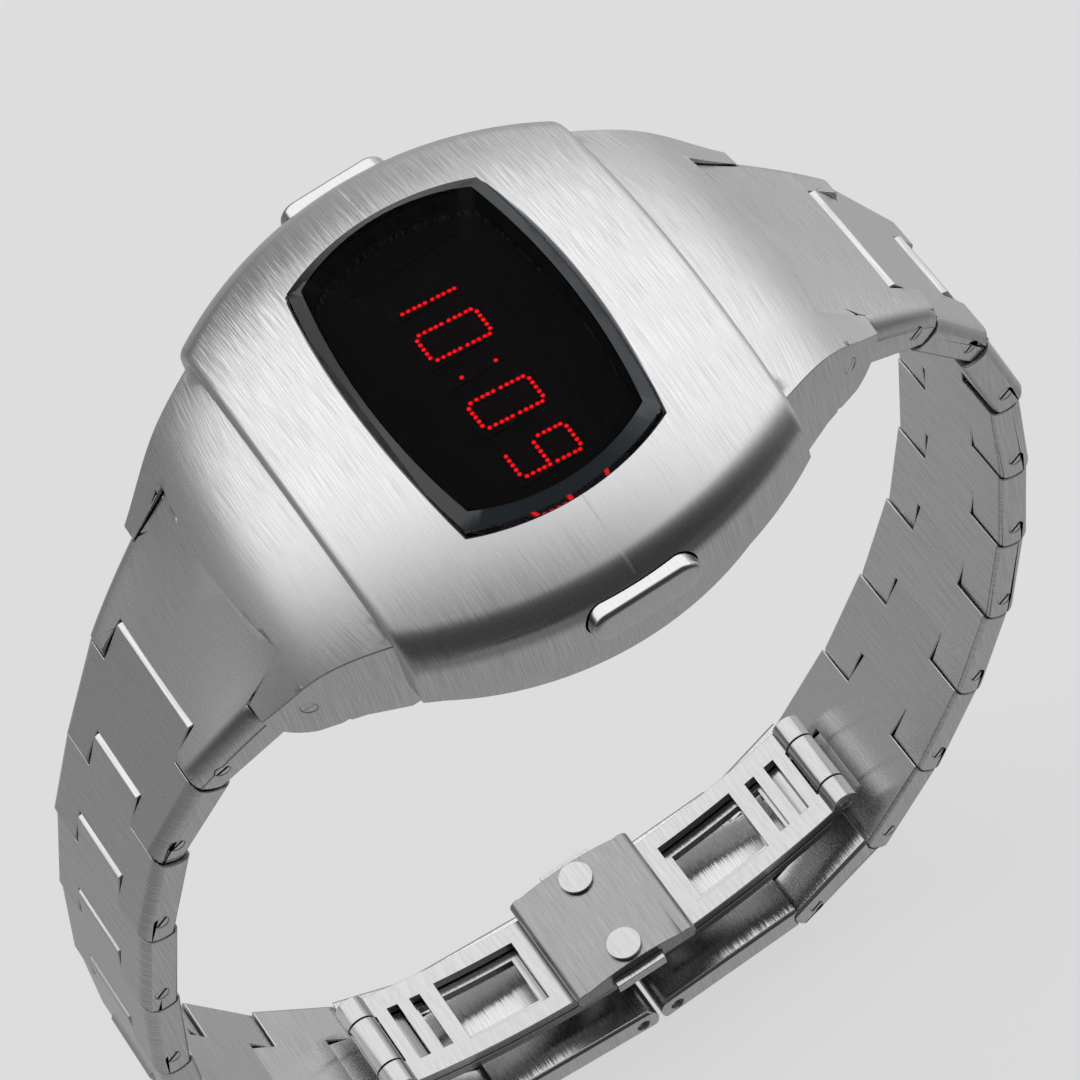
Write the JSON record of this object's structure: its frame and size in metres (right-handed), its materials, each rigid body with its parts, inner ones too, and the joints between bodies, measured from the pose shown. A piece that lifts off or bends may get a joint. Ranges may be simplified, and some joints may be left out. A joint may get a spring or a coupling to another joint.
{
  "type": "led wristwatch",
  "caption": "Cushion-case digital wristwatch with a bevelled dark crystal, hooded lugs, side pushers and a tapered link bracelet with a folding clasp.",
  "frame": {"origin": "centre of the case back's flat rear face, which rests on the wrist", "axes": "+X to 3 o'clock, +Y to 12 o'clock, +Z out of the display"},
  "size_m": [0.0416, 0.078, 0.0847],
  "materials": {
    "brushed_steel": "brushed along the width on tops, satin",
    "polished_steel": "bright polished edges and pushers",
    "dark_crystal": "dark tinted mineral crystal, polished bevel",
    "black_mask": "matte black",
    "ceramic_carrier": "dark display carrier",
    "led_dies": "red diffused digits",
    "chip_black": "moulded black",
    "board_green": "green board",
    "module_plastic": "moulded dark plastic",
    "cell_steel": "nickel-plated cell",
    "contact_brass": "spring brass",
    "seal_rubber": "black rubber"
  },
  "bodies": {
    "case": {"front_shell": "brushed_steel", "case_middle": "brushed_steel", "crystal": "dark_crystal", "crystal_gasket": "seal_rubber", "display_mask": "black_mask", "display_carrier": "ceramic_carrier", "digit_dies": "led_dies", "driver_chip": "chip_black", "circuit_board": "board_green", "quartz_can": "cell_steel", "module_frame": "module_plastic", "coin_cell": "cell_steel", "cell_strap": "contact_brass", "case_back": "brushed_steel", "case_back_gasket": "seal_rubber", "case_back_screws": "polished_steel", "pusher_seals": "seal_rubber", "switch_leaves": "contact_brass", "hood_pins": "polished_steel"},
    "clasp_base": {"clasp_base": "polished_steel", "clasp_block": "polished_steel", "clasp_rivets": "polished_steel", "clasp_hinge_pins": "polished_steel"},
    "pusher_3": {"pusher_3": "polished_steel"},
    "pusher_9": {"pusher_9": "polished_steel"},
    "clasp_blade_12": {"clasp_blade_12": "brushed_steel"},
    "clasp_blade_6": {"clasp_blade_6": "brushed_steel"},
    "clasp_button_3": {"clasp_button_3": "polished_steel"},
    "clasp_button_9": {"clasp_button_9": "polished_steel"},
    "link_12_01": {"link_12_01": "brushed_steel"},
    "link_12_02": {"link_12_02": "brushed_steel"},
    "link_12_03": {"link_12_03": "brushed_steel"},
    "link_12_04": {"link_12_04": "brushed_steel"},
    "link_12_05": {"link_12_05": "brushed_steel"},
    "link_12_06": {"link_12_06": "brushed_steel"},
    "link_12_07": {"link_12_07": "brushed_steel"},
    "link_12_08": {"link_12_08": "brushed_steel"},
    "link_12_09": {"link_12_09": "brushed_steel"},
    "link_12_10": {"link_12_10": "brushed_steel"},
    "link_12_11": {"link_12_11": "brushed_steel"},
    "link_6_01": {"link_6_01": "brushed_steel"},
    "link_6_02": {"link_6_02": "brushed_steel"},
    "link_6_03": {"link_6_03": "brushed_steel"},
    "link_6_04": {"link_6_04": "brushed_steel"},
    "link_6_05": {"link_6_05": "brushed_steel"},
    "link_6_06": {"link_6_06": "brushed_steel"},
    "link_6_07": {"link_6_07": "brushed_steel"},
    "link_6_08": {"link_6_08": "brushed_steel"},
    "link_6_09": {"link_6_09": "brushed_steel"},
    "link_6_10": {"link_6_10": "brushed_steel"},
    "link_6_11": {"link_6_11": "brushed_steel"}
  },
  "joints": [
    {"name": "bracelet_opening", "type": "hinge", "parent": "case", "child": "link_12_01", "pos_m": [0, 0.0214, 0.0033], "axis": [1, 0, 0], "range_deg": [0, 20]},
    {"name": "link_12_02_hinge", "type": "hinge", "parent": "link_12_01", "child": "link_12_02", "pos_m": [0, 0.02787, -0.00252], "axis": [1, 0, 0], "range_deg": [0, 17]},
    {"name": "link_12_03_hinge", "type": "hinge", "parent": "link_12_02", "child": "link_12_03", "pos_m": [0, 0.03219, -0.00972], "axis": [1, 0, 0], "range_deg": [0, 17]},
    {"name": "link_12_04_hinge", "type": "hinge", "parent": "link_12_03", "child": "link_12_04", "pos_m": [0, 0.03418, -0.01768], "axis": [1, 0, 0], "range_deg": [0, 15]},
    {"name": "link_12_05_hinge", "type": "hinge", "parent": "link_12_04", "child": "link_12_05", "pos_m": [0, 0.03403, -0.02628], "axis": [1, 0, 0], "range_deg": [0, 6]},
    {"name": "link_12_06_hinge", "type": "hinge", "parent": "link_12_05", "child": "link_12_06", "pos_m": [0, 0.03298, -0.03481], "axis": [1, 0, 0], "range_deg": [0, 7]},
    {"name": "link_12_07_hinge", "type": "hinge", "parent": "link_12_06", "child": "link_12_07", "pos_m": [0, 0.0309, -0.04316], "axis": [1, 0, 0], "range_deg": [0, 10]},
    {"name": "link_12_08_hinge", "type": "hinge", "parent": "link_12_07", "child": "link_12_08", "pos_m": [0, 0.0274, -0.05101], "axis": [1, 0, 0], "range_deg": [0, 8]},
    {"name": "link_12_09_hinge", "type": "hinge", "parent": "link_12_08", "child": "link_12_09", "pos_m": [0, 0.02284, -0.05831], "axis": [1, 0, 0], "range_deg": [0, 9]},
    {"name": "link_12_10_hinge", "type": "hinge", "parent": "link_12_09", "child": "link_12_10", "pos_m": [0, 0.0172, -0.0648], "axis": [1, 0, 0], "range_deg": [0, 20]},
    {"name": "link_12_11_hinge", "type": "hinge", "parent": "link_12_10", "child": "link_12_11", "pos_m": [0, 0.00968, -0.06897], "axis": [1, 0, 0], "range_deg": [0, 24.58]},
    {"name": "blade_12_hinge", "type": "hinge", "parent": "link_12_11", "child": "clasp_blade_12", "pos_m": [0, -0.0037, -0.07], "axis": [1, 0, 0], "range_deg": [0, 165]},
    {"name": "base_hinge", "type": "hinge", "parent": "clasp_blade_12", "child": "clasp_base", "pos_m": [0, 0.0152, -0.06169], "axis": [-1, 0, 0], "range_deg": [0, 165]},
    {"name": "blade_6_hinge", "type": "hinge", "parent": "clasp_base", "child": "clasp_blade_6", "pos_m": [0, -0.0258, -0.06169], "axis": [-1, 0, 0], "range_deg": [0, 165]},
    {"name": "link_6_11_hinge", "type": "hinge", "parent": "clasp_blade_6", "child": "link_6_11", "pos_m": [0, -0.0069, -0.07], "axis": [1, 0, 0], "range_deg": [0, 165]},
    {"name": "link_6_10_hinge", "type": "hinge", "parent": "link_6_11", "child": "link_6_10", "pos_m": [0, -0.02114, -0.06852], "axis": [1, 0, 0], "range_deg": [0, 24.08]},
    {"name": "link_6_09_hinge", "type": "hinge", "parent": "link_6_10", "child": "link_6_09", "pos_m": [0, -0.02859, -0.06422], "axis": [1, 0, 0], "range_deg": [0, 17]},
    {"name": "link_6_01_hinge", "type": "hinge", "parent": "case", "child": "link_6_01", "pos_m": [0, -0.0214, 0.0033], "axis": [-1, 0, 0], "range_deg": [0, 20]},
    {"name": "link_6_02_hinge", "type": "hinge", "parent": "link_6_01", "child": "link_6_02", "pos_m": [0, -0.02797, -0.00241], "axis": [-1, 0, 0], "range_deg": [0, 13.5]},
    {"name": "link_6_03_hinge", "type": "hinge", "parent": "link_6_02", "child": "link_6_03", "pos_m": [0, -0.03284, -0.00925], "axis": [-1, 0, 0], "range_deg": [0, 11]},
    {"name": "link_6_04_hinge", "type": "hinge", "parent": "link_6_03", "child": "link_6_04", "pos_m": [0, -0.03624, -0.01671], "axis": [-1, 0, 0], "range_deg": [0, 8.5]},
    {"name": "link_6_05_hinge", "type": "hinge", "parent": "link_6_04", "child": "link_6_05", "pos_m": [0, -0.03861, -0.02497], "axis": [-1, 0, 0], "range_deg": [0, 6]},
    {"name": "link_6_06_hinge", "type": "hinge", "parent": "link_6_05", "child": "link_6_06", "pos_m": [0, -0.04011, -0.03344], "axis": [-1, 0, 0], "range_deg": [0, 7]},
    {"name": "link_6_07_hinge", "type": "hinge", "parent": "link_6_06", "child": "link_6_07", "pos_m": [0, -0.04056, -0.04203], "axis": [-1, 0, 0], "range_deg": [0, 16]},
    {"name": "link_6_08_hinge", "type": "hinge", "parent": "link_6_07", "child": "link_6_08", "pos_m": [0, -0.03862, -0.05041], "axis": [-1, 0, 0], "range_deg": [0, 16]},
    {"name": "pusher_3_slide", "type": "slide", "parent": "case", "child": "pusher_3", "axis": [-1, 0, 0], "range_m": [0, 0.0008], "stiffness_N_per_m": 500, "springref_m": -0.0006},
    {"name": "pusher_9_slide", "type": "slide", "parent": "case", "child": "pusher_9", "axis": [1, 0, 0], "range_m": [0, 0.0008], "stiffness_N_per_m": 500, "springref_m": -0.0006},
    {"name": "clasp_button_3_slide", "type": "slide", "parent": "clasp_base", "child": "clasp_button_3", "axis": [-1, 0, 0], "range_m": [0, 0.0005], "stiffness_N_per_m": 500, "springref_m": -0.0006},
    {"name": "clasp_button_9_slide", "type": "slide", "parent": "clasp_base", "child": "clasp_button_9", "axis": [1, 0, 0], "range_m": [0, 0.0005], "stiffness_N_per_m": 500, "springref_m": -0.0006}
  ],
  "couplings": [
    {"joint": "link_12_02_hinge", "follows": "bracelet_opening", "ratio": 0.85},
    {"joint": "link_12_03_hinge", "follows": "bracelet_opening", "ratio": 0.85},
    {"joint": "link_12_04_hinge", "follows": "bracelet_opening", "ratio": 0.75},
    {"joint": "link_12_05_hinge", "follows": "bracelet_opening", "ratio": 0.3},
    {"joint": "link_12_06_hinge", "follows": "bracelet_opening", "ratio": 0.35},
    {"joint": "link_12_07_hinge", "follows": "bracelet_opening", "ratio": 0.5},
    {"joint": "link_12_08_hinge", "follows": "bracelet_opening", "ratio": 0.4},
    {"joint": "link_12_09_hinge", "follows": "bracelet_opening", "ratio": 0.45},
    {"joint": "link_12_10_hinge", "follows": "bracelet_opening", "ratio": 1},
    {"joint": "link_12_11_hinge", "follows": "bracelet_opening", "ratio": 1.2291},
    {"joint": "blade_12_hinge", "follows": "bracelet_opening", "ratio": 7.15},
    {"joint": "base_hinge", "follows": "bracelet_opening", "ratio": 7.15},
    {"joint": "blade_6_hinge", "follows": "bracelet_opening", "ratio": 7.15},
    {"joint": "link_6_11_hinge", "follows": "bracelet_opening", "ratio": 7.15},
    {"joint": "link_6_10_hinge", "follows": "bracelet_opening", "ratio": 1.204},
    {"joint": "link_6_09_hinge", "follows": "bracelet_opening", "ratio": 0.85},
    {"joint": "link_6_01_hinge", "follows": "bracelet_opening", "ratio": 1},
    {"joint": "link_6_02_hinge", "follows": "bracelet_opening", "ratio": 0.675},
    {"joint": "link_6_03_hinge", "follows": "bracelet_opening", "ratio": 0.55},
    {"joint": "link_6_04_hinge", "follows": "bracelet_opening", "ratio": 0.425},
    {"joint": "link_6_05_hinge", "follows": "bracelet_opening", "ratio": 0.3},
    {"joint": "link_6_06_hinge", "follows": "bracelet_opening", "ratio": 0.35},
    {"joint": "link_6_07_hinge", "follows": "bracelet_opening", "ratio": 0.8},
    {"joint": "link_6_08_hinge", "follows": "bracelet_opening", "ratio": 0.8}
  ]
}
